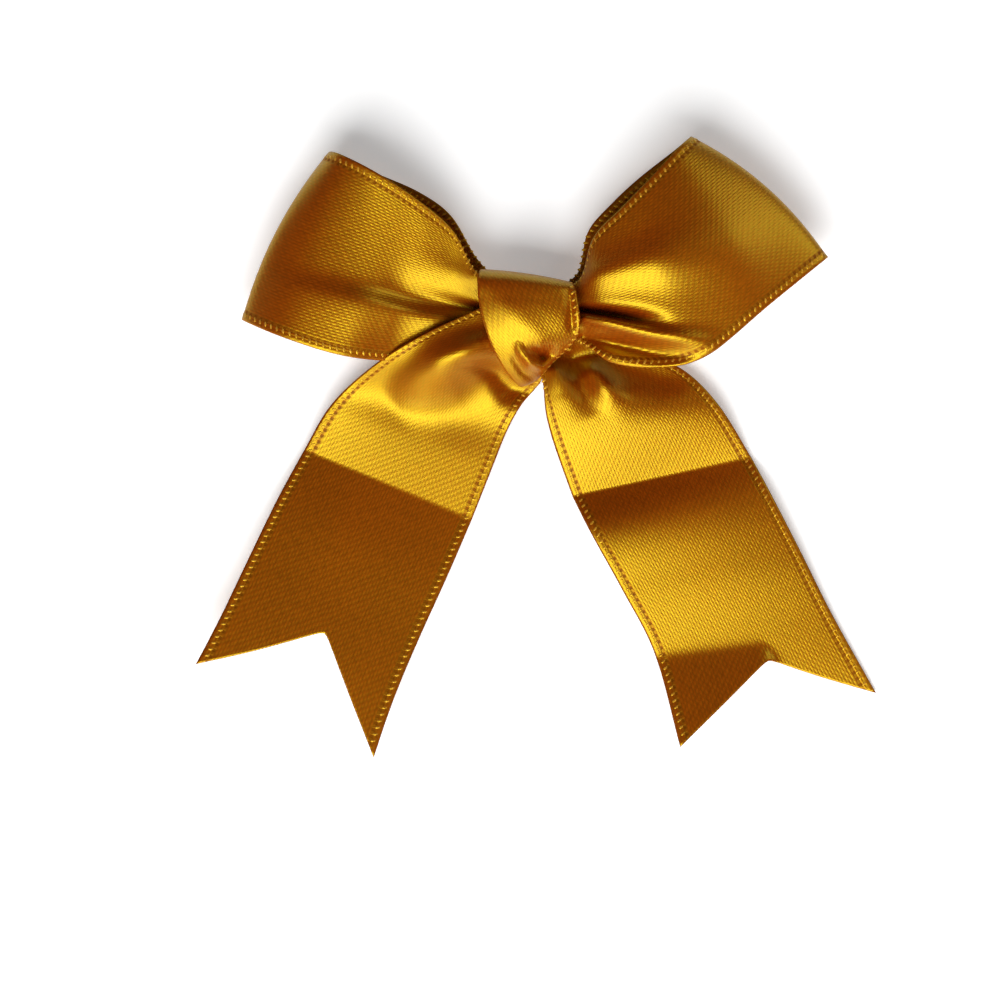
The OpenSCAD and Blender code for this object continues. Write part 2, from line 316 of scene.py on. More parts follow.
def facing(points, closed=False):
    """Unit normals of a net."""
    if closed:
        around = np.roll(points, -1, 0) - np.roll(points, 1, 0)
    else:
        around = np.gradient(points, axis=0)
    n = np.cross(around, np.gradient(points, axis=1))
    return n / (np.linalg.norm(n, axis=-1, keepdims=True) + 1e-12)


def shell(name, points, flat, thickness, material, closed=False):
    """A net as a closed thin sheet, with a UV map in flat ribbon measure.

    A closed net is a ring: its last row is followed by its first.
    """
    n, m = points.shape[:2]
    half = facing(points, closed) * thickness / 2
    rows = n if closed else n - 1
    i, j = (a.ravel() for a in np.meshgrid(np.arange(rows), np.arange(m - 1), indexing="ij"))
    top = np.stack([np.stack([i, j], -1), np.stack([i + 1, j], -1),
                    np.stack([i + 1, j + 1], -1), np.stack([i, j + 1], -1)], 1)
    up, down = np.arange(rows + 1), np.arange(rows, -1, -1)
    runs = [np.stack([up, np.full(rows + 1, m - 1)], -1), np.stack([down, np.zeros(rows + 1, int)], -1)]
    if not closed:
        over = np.arange(m)
        runs += [np.stack([np.zeros(m, int), over], -1), np.stack([np.full(m, n - 1), over[::-1]], -1)]
    rim = np.concatenate([np.stack([r[:-1], r[1:], r[1:], r[:-1]], 1) for r in runs])
    corners = np.concatenate([top, top[:, ::-1], rim])
    side = np.concatenate([np.zeros((len(top), 4), int), np.ones((len(top), 4), int),
                           np.tile([0, 0, 1, 1], (len(rim), 1))])
    index = corners[..., 0] % n * m + corners[..., 1] + side * n * m
    both = np.concatenate([(points + half).reshape(-1, 3), (points - half).reshape(-1, 3)]) * MM
    obj = plain_mesh(name, both, index.tolist())
    layer = obj.data.uv_layers.new(name="ribbon")
    spots = flat[corners[..., 0], corners[..., 1]] / (RIBBON_WIDTH, UV_LENGTH)
    layer.data.foreach_set("uv", spots.astype(np.float32).ravel())
    obj.data.shade_smooth()
    obj.data.materials.append(material)
    return obj


def plain_mesh(name, points, faces, edges=()):
    """An object with its place in its mesh."""
    mesh = bpy.data.meshes.new(name)
    mesh.from_pydata([tuple(p) for p in points], [tuple(e) for e in edges], faces)
    mesh.update()
    obj = bpy.data.objects.new(name, mesh)
    bpy.context.scene.collection.objects.link(obj)
    return obj


# -------------------- nodes

# Where a Mix node that mixes colours keeps them: its first, its second and its result
MIX_ONE, MIX_OTHER, MIX_RESULT = 6, 7, 2


class Graph:
    """A tree of nodes."""

    def __init__(self, tree):
        self.tree = tree

    def node(self, kind, settings=None, **inputs):
        made = self.tree.nodes.new(kind)
        for key, value in (settings or {}).items():
            setattr(made, key, value)
        for key, value in inputs.items():
            self.put(value, made.inputs[key.replace("_", " ")])
        return made

    def field(self, kind, settings=None, output=0, **inputs):
        """A new node's result as a field."""
        return Field(self, self.node(kind, settings, **inputs).outputs[output])

    def put(self, value, socket):
        """Links a field or a socket to a socket, or sets a plain value on it."""
        source = value.socket if isinstance(value, Field) else value
        if isinstance(source, bpy.types.NodeSocket):
            self.tree.links.new(source, socket)
        else:
            socket.default_value = value

    def maths(self, operation, *values):
        made = self.node("ShaderNodeMath", {"operation": operation})
        for value, socket in zip(values, made.inputs):
            self.put(value, socket)
        return Field(self, made.outputs[0])

    def blend(self, share, one, other):
        """A colour from one to the other by a share."""
        made = self.node("ShaderNodeMix", {"data_type": "RGBA"})
        self.put(share, made.inputs["Factor"])
        self.put(one, made.inputs[MIX_ONE])
        self.put(other, made.inputs[MIX_OTHER])
        return made.outputs[MIX_RESULT]


class Finish(Graph):
    """A material's nodes."""

    def __init__(self, name):
        self.material = bpy.data.materials.new(name)
        self.material.use_nodes = True
        super().__init__(self.material.node_tree)
        self.tree.nodes.clear()

    def surface(self, **inputs):
        """The material, once its surface has these inputs."""
        shader = self.node("ShaderNodeBsdfPrincipled", **inputs)
        self.tree.links.new(shader.outputs[0], self.node("ShaderNodeOutputMaterial").inputs[0])
        return self.material


class Field:
    """A number that varies over a surface, so that shader maths reads as plain expressions."""

    def __init__(self, graph, socket):
        self.graph, self.socket = graph, socket

    def __add__(self, other): return self.graph.maths("ADD", self, other)
    def __radd__(self, other): return self.graph.maths("ADD", other, self)
    def __sub__(self, other): return self.graph.maths("SUBTRACT", self, other)
    def __rsub__(self, other): return self.graph.maths("SUBTRACT", other, self)
    def __mul__(self, other): return self.graph.maths("MULTIPLY", self, other)
    def __rmul__(self, other): return self.graph.maths("MULTIPLY", other, self)
    def __truediv__(self, other): return self.graph.maths("DIVIDE", self, other)
    def floor(self): return self.graph.maths("FLOOR", self)
    def fract(self): return self.graph.maths("FRACT", self)
    def sine(self): return self.graph.maths("SINE", self)
    def size(self): return self.graph.maths("ABSOLUTE", self)
    def least(self, other): return self.graph.maths("MINIMUM", self, other)

    def ramp(self, low, high):
        """0 below low, 1 above high, smooth between."""
        made = self.graph.node("ShaderNodeMapRange", {"interpolation_type": "SMOOTHSTEP"})
        self.graph.put(self, made.inputs["Value"])
        made.inputs["From Min"].default_value = low
        made.inputs["From Max"].default_value = high
        return Field(self.graph, made.outputs[0])


# -------------------- selvage stitches

# How far a stitch stands proud of the ribbon, both faces together
STITCH_PROUD = 0.14
# Rows of the net past a course's last stitch
STITCH_STOP = 3


def stitch_tree():
    """Geometry nodes that set an oval stitch at every pitch along a course of ribbon edge."""
    tree = bpy.data.node_groups.new("selvage_stitches", "GeometryNodeTree")
    face = tree.interface
    face.new_socket("Geometry", in_out="INPUT", socket_type="NodeSocketGeometry")
    for name in ("Pitch", "Reach", "Girth", "Height", "Slant"):
        face.new_socket(name, in_out="INPUT", socket_type="NodeSocketFloat")
    face.new_socket("Material", in_out="INPUT", socket_type="NodeSocketMaterial")
    face.new_socket("Geometry", in_out="OUTPUT", socket_type="NodeSocketGeometry")

    node = Graph(tree).node
    given = node("NodeGroupInput").outputs
    course = node("GeometryNodeMeshToCurve", Mesh=given["Geometry"]).outputs[0]
    spots = node("GeometryNodeResampleCurve", {"mode": "LENGTH"}, Curve=course,
                 Length=given["Pitch"]).outputs[0]
    out = node("GeometryNodeInputNamedAttribute", {"data_type": "FLOAT_VECTOR"}, Name="out").outputs[0]
    tangent = node("GeometryNodeInputTangent").outputs[0]
    upright = node("FunctionNodeAlignRotationToVector", {"axis": "Z"}, Vector=out).outputs[0]
    along = node("FunctionNodeAlignRotationToVector", {"axis": "X", "pivot_axis": "Z"},
                 Rotation=upright, Vector=tangent).outputs[0]
    lean = node("FunctionNodeAxisAngleToRotation", Axis=(0, 0, 1), Angle=given["Slant"]).outputs[0]
    turned = node("FunctionNodeRotateRotation", {"rotation_space": "LOCAL"}, Rotation=along,
                  Rotate_By=lean).outputs[0]
    bead = node("GeometryNodeMeshUVSphere", Segments=8, Rings=5, Radius=0.5).outputs[0]
    size = node("ShaderNodeCombineXYZ", X=given["Girth"], Y=given["Reach"], Z=given["Height"]).outputs[0]
    sizes = node("GeometryNodeInstanceOnPoints", Points=spots, Instance=bead, Rotation=turned,
                 Scale=size).outputs[0]
    real = node("GeometryNodeRealizeInstances", Geometry=sizes).outputs[0]
    soft = node("GeometryNodeSetShadeSmooth", Geometry=real).outputs[0]
    done = node("GeometryNodeSetMaterial", Geometry=soft, Material=given["Material"]).outputs[0]
    tree.links.new(done, node("NodeGroupOutput").inputs[0])
    return tree


def inset(values, v, across):
    """A net's values along a line that runs a set distance in from one edge."""
    at = np.interp(across / RIBBON_WIDTH, v, np.arange(len(v)))
    low = min(int(at), len(v) - 2)
    return values[:, low] + (values[:, low + 1] - values[:, low]) * (at - low)


def stitches(name, courses, look):
    """A piece with the stitches along courses, each given as its points and its outward directions."""
    points = np.concatenate([c[0] for c in courses]) * MM
    outward = np.concatenate([c[1] for c in courses])
    edges, first = [], 0
    for line, _ in courses:
        edges += [(k, k + 1) for k in range(first, first + len(line) - 1)]
        first += len(line)
    guide = plain_mesh(name + "_guide", points, [], edges)
    guide.data.attributes.new("out", "FLOAT_VECTOR", "POINT").data.foreach_set(
        "vector", outward.astype(np.float32).ravel())
    modifier = guide.modifiers.new("stitches", "NODES")
    modifier.node_group = MADE["stitch_tree"]
    given = {"Pitch": look.stitch_pitch * MM, "Reach": look.stitch_reach * MM,
             "Girth": look.stitch_girth * MM, "Height": (look.thickness + STITCH_PROUD) * MM,
             "Slant": look.stitch_slant, "Material": MADE["stitch"]}
    for item in modifier.node_group.interface.items_tree:
        if item.in_out == "INPUT" and item.name in given:
            modifier[item.identifier] = given[item.name]
    bpy.context.view_layer.update()
    mesh = bpy.data.meshes.new_from_object(guide.evaluated_get(bpy.context.evaluated_depsgraph_get()))
    mesh.name = name
    bpy.data.objects.remove(guide)
    piece = bpy.data.objects.new(name, mesh)
    bpy.context.scene.collection.objects.link(piece)
    return piece


# -------------------- finishes

# How far one rib's floats start past its neighbour's, in floats
FLOAT_STEP = 0.4
# How many stitch lengths in from a stitch's middle its holes and their painted shade lie, and how soft
# their rims are
HOLE_IN, HOLE_RIM = 0.45, (0.12, 0.34)


def satin(name, look, edges=True):
    """Woven satin: long floats that run along the ribbon, a stitched selvage, a soft gold sheen."""
    g = Finish(name)
    uv = g.node("ShaderNodeUVMap", {"uv_map": "ribbon"})
    split = g.node("ShaderNodeSeparateXYZ", Vector=uv.outputs[0])
    across = Field(g, split.outputs[0]) * RIBBON_WIDTH
    along = Field(g, split.outputs[1]) * UV_LENGTH
    thread = across / look.thread_pitch
    ridge = (thread.fract() * math.pi).sine()
    passed = along / look.float_length + thread.floor() * FLOAT_STEP
    float_height = (passed * math.tau).sine() * 0.5 + 0.5
    # Fine fibres drawn out along the threads, and a slow cloud of tone
    fibre, cloud = (
        g.field("ShaderNodeTexNoise", {"noise_dimensions": "2D"}, Scale=1.0, Detail=2.0,
                Vector=g.node("ShaderNodeCombineXYZ", X=across * wide, Y=along * long).outputs[0])
        for wide, long in ((3.0, 0.8), (0.12, 0.05)))
    weave = ridge * (float_height * 0.7 + 0.3)
    height = weave * 0.7 + fibre * 0.5
    # Painted light and shade: rib tops lighter and the grooves between the ribs darker, mixed with the
    # cloth's random fibre and cloud tone
    tone = weave * 0.35 + fibre * 0.5 + cloud * 0.25
    colour = g.blend(tone.ramp(0.25, 0.85), (*look.dye_with_groove_shade, 1), (*look.dye_with_lit_ribs, 1))
    dull = look.roughness - 0.03 + fibre * 0.06
    lustre = look.lustre
    if edges:
        # A row of needle holes just inside each selvage, duller and deeper than the cloth, with painted
        # shade in them: a darker colour, and a metallic share that takes their shine down to that dark
        # colour
        inward = across.least(RIBBON_WIDTH - across)
        from_row = (inward - look.stitch_inset - look.stitch_reach * HOLE_IN).size()
        from_hole = ((along / look.stitch_pitch).fract() - 0.5).size()
        hole_and_shade = (1 - from_row.ramp(*HOLE_RIM)) * (0.35 + 0.65 * (1 - from_hole.ramp(*HOLE_RIM)))
        colour = g.blend(hole_and_shade * 0.75, colour, (*look.thread_shadow, 1))
        height = height - hole_and_shade * 1.2
        dull = dull + hole_and_shade * 0.25
        lustre = hole_and_shade * 0.65
    bump = g.node("ShaderNodeBump", Strength=1.0, Distance=look.thread_height * MM, Height=height)
    return gold(g, colour, look, bump, dull, lustre)


def gold(g, colour, look, bump, dull, lustre):
    """Red-brown dye under a yellow-gold shine."""
    return g.surface(Base_Color=colour, Roughness=dull, Metallic=lustre, IOR=look.shine,
                     Coat_Weight=look.gloss, Coat_Roughness=look.gloss_spread,
                     Specular_Tint=(*look.shine_colour, 1), Normal=bump.outputs[0])


def stitch_thread(name, look):
    """The selvage's own thread, a little paler than the cloth, with its twist."""
    g = Finish(name)
    spot = g.node("ShaderNodeTexCoord").outputs["Object"]
    grain = g.field("ShaderNodeTexNoise", Vector=spot, Scale=2600.0, Detail=2.0)
    twist = g.field("ShaderNodeTexWave", output=1, Vector=spot, Scale=1500.0, Distortion=3.0, Detail=1.0)
    colour = g.blend(grain.ramp(0.3, 0.7), (*look.stitch_low, 1), (*look.stitch_top, 1))
    bump = g.node("ShaderNodeBump", Distance=0.03 * MM, Height=twist * 0.5 + grain * 0.5)
    return gold(g, colour, look, bump, look.roughness, 0.0)


def foam(name, look):
    """White closed-cell foam with its small cut cells, and painted shade darkening the hollows of the
    cells.
    """
    g = Finish(name)
    spot = g.node("ShaderNodeTexCoord").outputs["Object"]
    cells = g.field("ShaderNodeTexVoronoi", Vector=spot, Scale=2600.0)
    tint = g.field("ShaderNodeTexNoise", Vector=spot, Scale=400.0, Detail=3.0)
    # Painted shade inside the cut cells, mixed with a random tint
    colour = g.blend(cells.ramp(0.1, 0.6) * 0.7 + tint * 0.3, (*look.foam_cell_shade, 1), (*look.foam_top, 1))
    bump = g.node("ShaderNodeBump", Distance=0.0001, Height=cells)
    return g.surface(Base_Color=colour, Roughness=0.85, Normal=bump.outputs[0])


def paper(name, look):
    """Waxed release paper, pale with a faint fibre cloud."""
    g = Finish(name)
    spot = g.node("ShaderNodeTexCoord").outputs["Object"]
    fibre = g.field("ShaderNodeTexNoise", Vector=spot, Scale=900.0, Detail=5.0, Roughness=0.7)
    cloud = g.field("ShaderNodeTexNoise", Vector=spot, Scale=160.0, Detail=2.0)
    colour = g.blend((fibre * 0.6 + cloud * 0.4).ramp(0.35, 0.65), (*look.paper_low, 1),
                     (*look.paper_top, 1))
    bump = g.node("ShaderNodeBump", Distance=0.00004, Height=fibre)
    return g.surface(Base_Color=colour, Roughness=0.38, Normal=bump.outputs[0])


# -------------------- what a user may change


class BowRibbonSettings(bpy.types.PropertyGroup):
    thickness: FloatProperty(
        name="Ribbon thickness", description="Thickness of the satin, in millimetres", default=0.22,
        min=0.1, max=0.4)
    thread_pitch: FloatProperty(
        name="Rib pitch",
        description="From one visible rib of the weave to the next, in millimetres", default=0.38,
        min=0.1, max=1)
    float_length: FloatProperty(
        name="Float length", description="Length of a thread that floats on top, in millimetres",
        default=0.95, min=0.2, max=4)
    thread_height: FloatProperty(
        name="Rib height", description="Depth of the weave, in millimetres", default=0.028, min=0,
        max=0.2)
    # Painted light: the dye's colour as lit on the tops of the ribs
    dye_with_lit_ribs: FloatVectorProperty(
        name="Dye on top", description="Colour of the dye on top of the threads", subtype="COLOR",
        default=(0.31, 0.029, 0.0008))
    # Painted shade: the dye's colour as shaded in the grooves between the ribs
    dye_with_groove_shade: FloatVectorProperty(
        name="Dye below", description="Colour of the dye between the threads", subtype="COLOR",
        default=(0.165, 0.010, 0.0004))
    # Painted shade: the dark colour painted into the stitch holes
    thread_shadow: FloatVectorProperty(
        name="Stitch holes", description="Colour in the stitch holes", subtype="COLOR",
        default=(0.17, 0.022, 0.001))
    shine_colour: FloatVectorProperty(
        name="Shine colour", description="Colour of the satin's shine", subtype="COLOR",
        default=(1.0, 0.74, 0.02))
    shine: FloatProperty(
        name="Shine", description="Strength of the shine, as a refractive index", default=2.8,
        min=1, max=4)
    lustre: FloatProperty(
        name="Lustre", description="How metallic the threads shine", subtype="FACTOR", default=0.0,
        min=0, max=1)
    gloss: FloatProperty(
        name="Gloss", description="Clear shine over the threads", subtype="FACTOR", default=0.06,
        min=0, max=1)
    gloss_spread: FloatProperty(
        name="Gloss spread", description="Spread of the clear shine", subtype="FACTOR",
        default=0.32, min=0, max=1)
    roughness: FloatProperty(
        name="Roughness", description="Spread of the satin's shine", subtype="FACTOR", default=0.40,
        min=0, max=1)
    stitch_pitch: FloatProperty(
        name="Stitch pitch", description="From one selvage stitch to the next, in millimetres",
        default=0.95, min=0.4, max=3)
    stitch_reach: FloatProperty(
        name="Stitch reach", description="Length of a stitch across the ribbon, in millimetres",
        default=0.95, min=0.3, max=2)
    stitch_girth: FloatProperty(
        name="Stitch girth", description="Thickness of a stitch, in millimetres", default=0.46,
        min=0.2, max=1)
    stitch_slant: FloatProperty(
        name="Stitch slant", description="Lean of a stitch from straight across", subtype="ANGLE",
        default=0.45)
    stitch_inset: FloatProperty(
        name="Stitch inset",
        description="From the ribbon's edge to the middle of a stitch, in millimetres",
        default=0.78, min=0.3, max=2)
    stitch_top: FloatVectorProperty(
        name="Stitch, lit", description="Colour of the stitching thread", subtype="COLOR",
        default=(0.62, 0.27, 0.03))
    stitch_low: FloatVectorProperty(
        name="Stitch, low", description="Darker colour of the stitching thread", subtype="COLOR",
        default=(0.34, 0.11, 0.008))


class BowPadSettings(bpy.types.PropertyGroup):
    # Painted shade: the foam's colour darkened inside its cut cells
    foam_cell_shade: FloatVectorProperty(
        name="Foam cells", description="Colour inside the foam's cut cells", subtype="COLOR",
        default=(0.55, 0.53, 0.48))
    foam_top: FloatVectorProperty(
        name="Foam", description="Colour of the foam", subtype="COLOR", default=(0.86, 0.85, 0.81))
    paper_low: FloatVectorProperty(
        name="Paper fibres", description="Darker colour of the release paper", subtype="COLOR",
        default=(0.70, 0.66, 0.55))
    paper_top: FloatVectorProperty(
        name="Paper", description="Colour of the release paper", subtype="COLOR",
        default=(0.83, 0.80, 0.70))


class BowStageSettings(bpy.types.PropertyGroup):
    key_power: FloatProperty(
        name="Window light", description="Power of the large low light", unit="POWER", default=5.7)
    room: FloatProperty(
        name="Room light", description="Strength of the light from all around", default=0.045,
        min=0, max=2)
    floor_colour: FloatVectorProperty(
        name="Floor", description="Colour of the floor", subtype="COLOR",
        default=(0.92, 0.92, 0.92))
    floor_glow: FloatProperty(
        name="Floor glow", description="Light that the floor gives of its own", default=0.30, min=0,
        max=2)


# -------------------- the pieces

# Materials and node trees that the operators share, by what they are for
MADE = {}


def selvages(points, v, look):
    """The two courses that a ribbon's stitches follow, up to just short of the cut."""
    outward = facing(points)
    return [(inset(points, v, at)[:-STITCH_STOP], inset(outward, v, at)[:-STITCH_STOP])
            for at in (look.stitch_inset, RIBBON_WIDTH - look.stitch_inset)]


def declare(piece, cloth, look, crossing, nodes):
    """Adds a ribbon's stitches, bakes both pieces' places into their meshes, and hides the frame's parts
    that they replace.

    Crossing, a body and the points between which the cloth turns from the knot's place to its, is not
    used.
    """
    edging = stitches(piece.name.replace("ribbon", "selvage"),
                      selvages(cloth.points, cloth.v, look), look)
    for part in (piece, edging):
        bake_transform(part)
    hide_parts(*nodes)


# Two distances out from the middle, in millimetres, handed to declare with a loop's body
LIFT_START, LIFT_FULL = 5.0, 10.0


class BowMakeLoops(bpy.types.Operator):
    """Make the two loops of ribbon"""
    bl_idname = "gift_bow.make_loops"
    bl_label = "Loops"

    def execute(self, context):
        look = context.scene.bow_ribbon
        left = Cloth(LEFT_LOOP)
        # A valley out from the knot, a fold under it, and a low swell above it
        front = left.front()
        left.press([(-7.0, 1.7), (-12.0, 2.5), (-16.0, 3.6), (-20.0, 5.2)],
                   (0.7, 1.3, 1.7, 1.6), (-1.4, -1.0, -0.5, 0.0), front)
        left.press([(-7.0, -0.6), (-15.0, 0.6), (-21.5, 2.2), (-28.5, 3.6), (-36.0, 5.2)],
                   (1.1, 1.3, 1.4, 1.4, 1.6), (0.0, 1.4, 1.7, 1.1, 0.7, 0.0), front, spread=4.8)
        left.press([(-7.0, 5.6), (-16.0, 8.0)], (1.0, 2.6), (0.5, 0.1), front)
        right = Cloth(RIGHT_LOOP)
        # A deep tuck, the finger of cloth under it, a second tuck, and a swell above
        front = right.front()
        right.press([(7.0, 1.4), (10.0, 0.8), (14.0, 0.0), (18.0, -0.8)],
                    (0.5, 0.6, 0.8, 1.0), (-2.4, -3.8, -3.2, -0.4), front)
        right.press([(7.6, 0.0), (12.0, -0.9), (17.0, -2.1), (24.9, -3.7)],
                    (0.5, 0.6, 0.7, 1.2), (1.8, 2.6, 2.0, 0.4), front)
        right.press([(7.6, -2.2), (12.0, -3.4), (18.0, -4.7), (23.0, -4.8)],
                    (0.9, 1.1, 1.2, 1.2), (-1.8, -2.4, -1.8, -0.2), front)
        right.press([(8.0, 5.4), (14.0, 7.0), (26.0, 9.6)], (1.6, 3.0, 5.0), (0.8, 1.2, 0.6), front)
        for name, cloth, body in (("left_loop_ribbon", left, "left_loop"),
                                  ("right_loop_ribbon", right, "right_loop")):
            cloth.relax(np.minimum(cloth.s, cloth.length - cloth.s), 5)
            piece = shell(name, cloth.points, cloth.flat, look.thickness, MADE["satin"])
            out = (-1 if body == "left_loop" else 1) * MM
            declare(piece, cloth, look, (body, (LIFT_START * out, 0, 0), (LIFT_FULL * out, 0, 0)),
                    (body + "_front", body + "_back"))
        return {"FINISHED"}


# How far each side of a crease's line the points handed to declare lie, and how wide the hold on it is
CREASE_BEND, CREASE_HOLD = 0.6, 1.5


class BowMakeTails(bpy.types.Operator):
    """Make the two tails with their pressed creases and swallow-tail ends"""
    bl_idname = "gift_bow.make_tails"
    bl_label = "Tails"

    def execute(self, context):
        look = context.scene.bow_ribbon
        left = Cloth(LEFT_TAIL, crease=LEFT_CREASE, notch=LEFT_NOTCH)
        # The folded-over upper edge, and the hollow beside the knot
        left.press([(-5.0, -2.8), (-8.0, -4.3), (-11.5, -6.1), (-19.0, -10.4)],
                   (1.6, 2.3, 2.9, 3.0, 2.6), (1.6, 3.2, 3.8, 2.2, 0.0), spread=1.3)
        left.press([(-9.0, -6.0), (-6.4, -6.2), (-4.2, -7.0), (-2.2, -8.6), (0.6, -9.4)],
                   (0.6, 1.0, 1.6, 2.1, 2.2), (-0.3, -1.2, -2.0, -2.3, -1.9))
        right = Cloth(RIGHT_TAIL, crease=RIGHT_CREASE, notch=RIGHT_NOTCH)
        # The hollow under the knot with the small folds that run out of it
        right.press([(3.8, -4.4), (6.0, -5.0), (8.6, -4.6)], (1.6, 1.9, 1.6), (-2.0, -3.2, -2.0))
        right.press([(6.6, -6.8), (7.4, -9.4), (8.8, -13.0)], (1.0, 1.2, 1.6), (-0.9, -0.7, 0.0))
        right.press([(3.8, -6.6), (4.6, -10.0)], (0.9, 1.5), (0.7, 0.2))
        right.press([(8.8, -6.2), (9.8, -7.6), (12.4, -12.0)], (1.1, 1.5, 2.0), (1.4, 1.4, 0.2))
        right.press([(10.6, -5.6), (13.8, -6.8), (17.6, -7.6), (22.0, -8.6)],
                    (1.6, 2.5, 2.6, 2.0), (-0.6, -1.2, -1.2, -0.3))
        # The inner point of the cut end is turned up
        right.turn((17.6, -46.4), (31.6, -44.6), 0.42, (right.v < RIGHT_NOTCH[0] + 0.02)[None, :])
        creases = {j["child"]: j for j in frame["joints"]}
        for name, cloth, body, nodes in (
                ("left_tail_ribbon", left, "left_tail", ("left_tail_upper", "left_tail_end")),
                ("right_tail_ribbon", right, "right_tail", ("right_tail_upper", "right_tail_end"))):
            from_crease = (cloth.s - cloth.s[cloth.crease_row].mean()) / CREASE_HOLD
            cloth.relax(cloth.s, 4, CREASE_GRIP * np.exp(-from_crease ** 2))
            piece = shell(name, cloth.points, cloth.flat, look.thickness, MADE["satin"])
            spot, axis = Vector(creases[body]["pos_m"]), Vector(creases[body]["axis"]).normalized()
            over = axis.cross(Vector((0, 0, 1))).normalized() * CREASE_BEND * MM
            if over.y > 0:
                over = -over
            declare(piece, cloth, look, (body, spot - over, spot + over), nodes)
        return {"FINISHED"}


# The knot's band, from its top round the front to the foot and back up behind, as rungs
KNOT = [
    ((-6.2, 6.4, 4.4), (5.7, 4.8, 4.6), (0, 0.3, 0)),
    ((-6.5, 6.7, 8.6), (5.9, 4.9, 8.8), (0, 0.3, 0.2)),
    ((-6.8, 5.4, 10.9), (6.3, 3.9, 10.6), (0, 0.2, 0.6)),
    ((-6.7, 2.6, 11.2), (6.6, 2.0, 10.8), (0, 0, 0.9)),
    ((-6.1, -0.2, 11.1), (6.9, -0.2, 10.5), (0, 0, 0.9)),
    ((-5.2, -3.0, 10.4), (6.7, -2.3, 9.6), (0, 0, 0.9)),
    ((-3.9, -5.6, 9.1), (5.2, -4.1, 7.9), (0, -0.2, 1.0)),
    ((-2.5, -7.6, 7.3), (3.4, -5.6, 6.2), (0, -0.5, 1.0)),
    ((-1.1, -8.9, 5.6), (1.8, -7.4, 4.6), (0, -0.3, 0.4)),
    ((-1.6, -8.0, 3.4), (1.8, -7.4, 3.4), (0, -0.2, 0)),
    ((-3.8, -6.2, 2.0), (3.8, -6.0, 2.0), (0, -0.2, 0)),
    ((-5.0, -2.2, 1.8), (5.0, -2.2, 1.8), (0, 0, 0)),
    ((-5.4, 2.0, 1.8), (5.2, 2.0, 1.8), (0, 0, 0)),
    ((-6.0, 5.2, 2.6), (5.6, 4.8, 2.6), (0, 0.2, 0)),
]
# How far the ribbon's threads lean where it crosses the knot, in degrees
KNOT_LEAN = -28.0
# Rows of the net for each rung of the knot, and its columns
KNOT_STEPS, KNOT_COLUMNS = 14, 49
# The ribbon's width in the knot: what shows, and with what is turned under
KNOT_SHOWN, KNOT_WIDTH = 12.6, 15.0
# Where the ribbon turns under at the knot's left: depth, way in, and place on the flat ribbon
KNOT_HEM = ((1.0, 1.6, -2.2), (0.95, 1.0, -1.6), (0.8, 0.45, -1.1), (0.5, 0.1, -0.6), (0.2, -0.05, -0.2))
# The rungs between which the knot's right edge shows its stitches
KNOT_STITCHED = (1.4, 9.2)


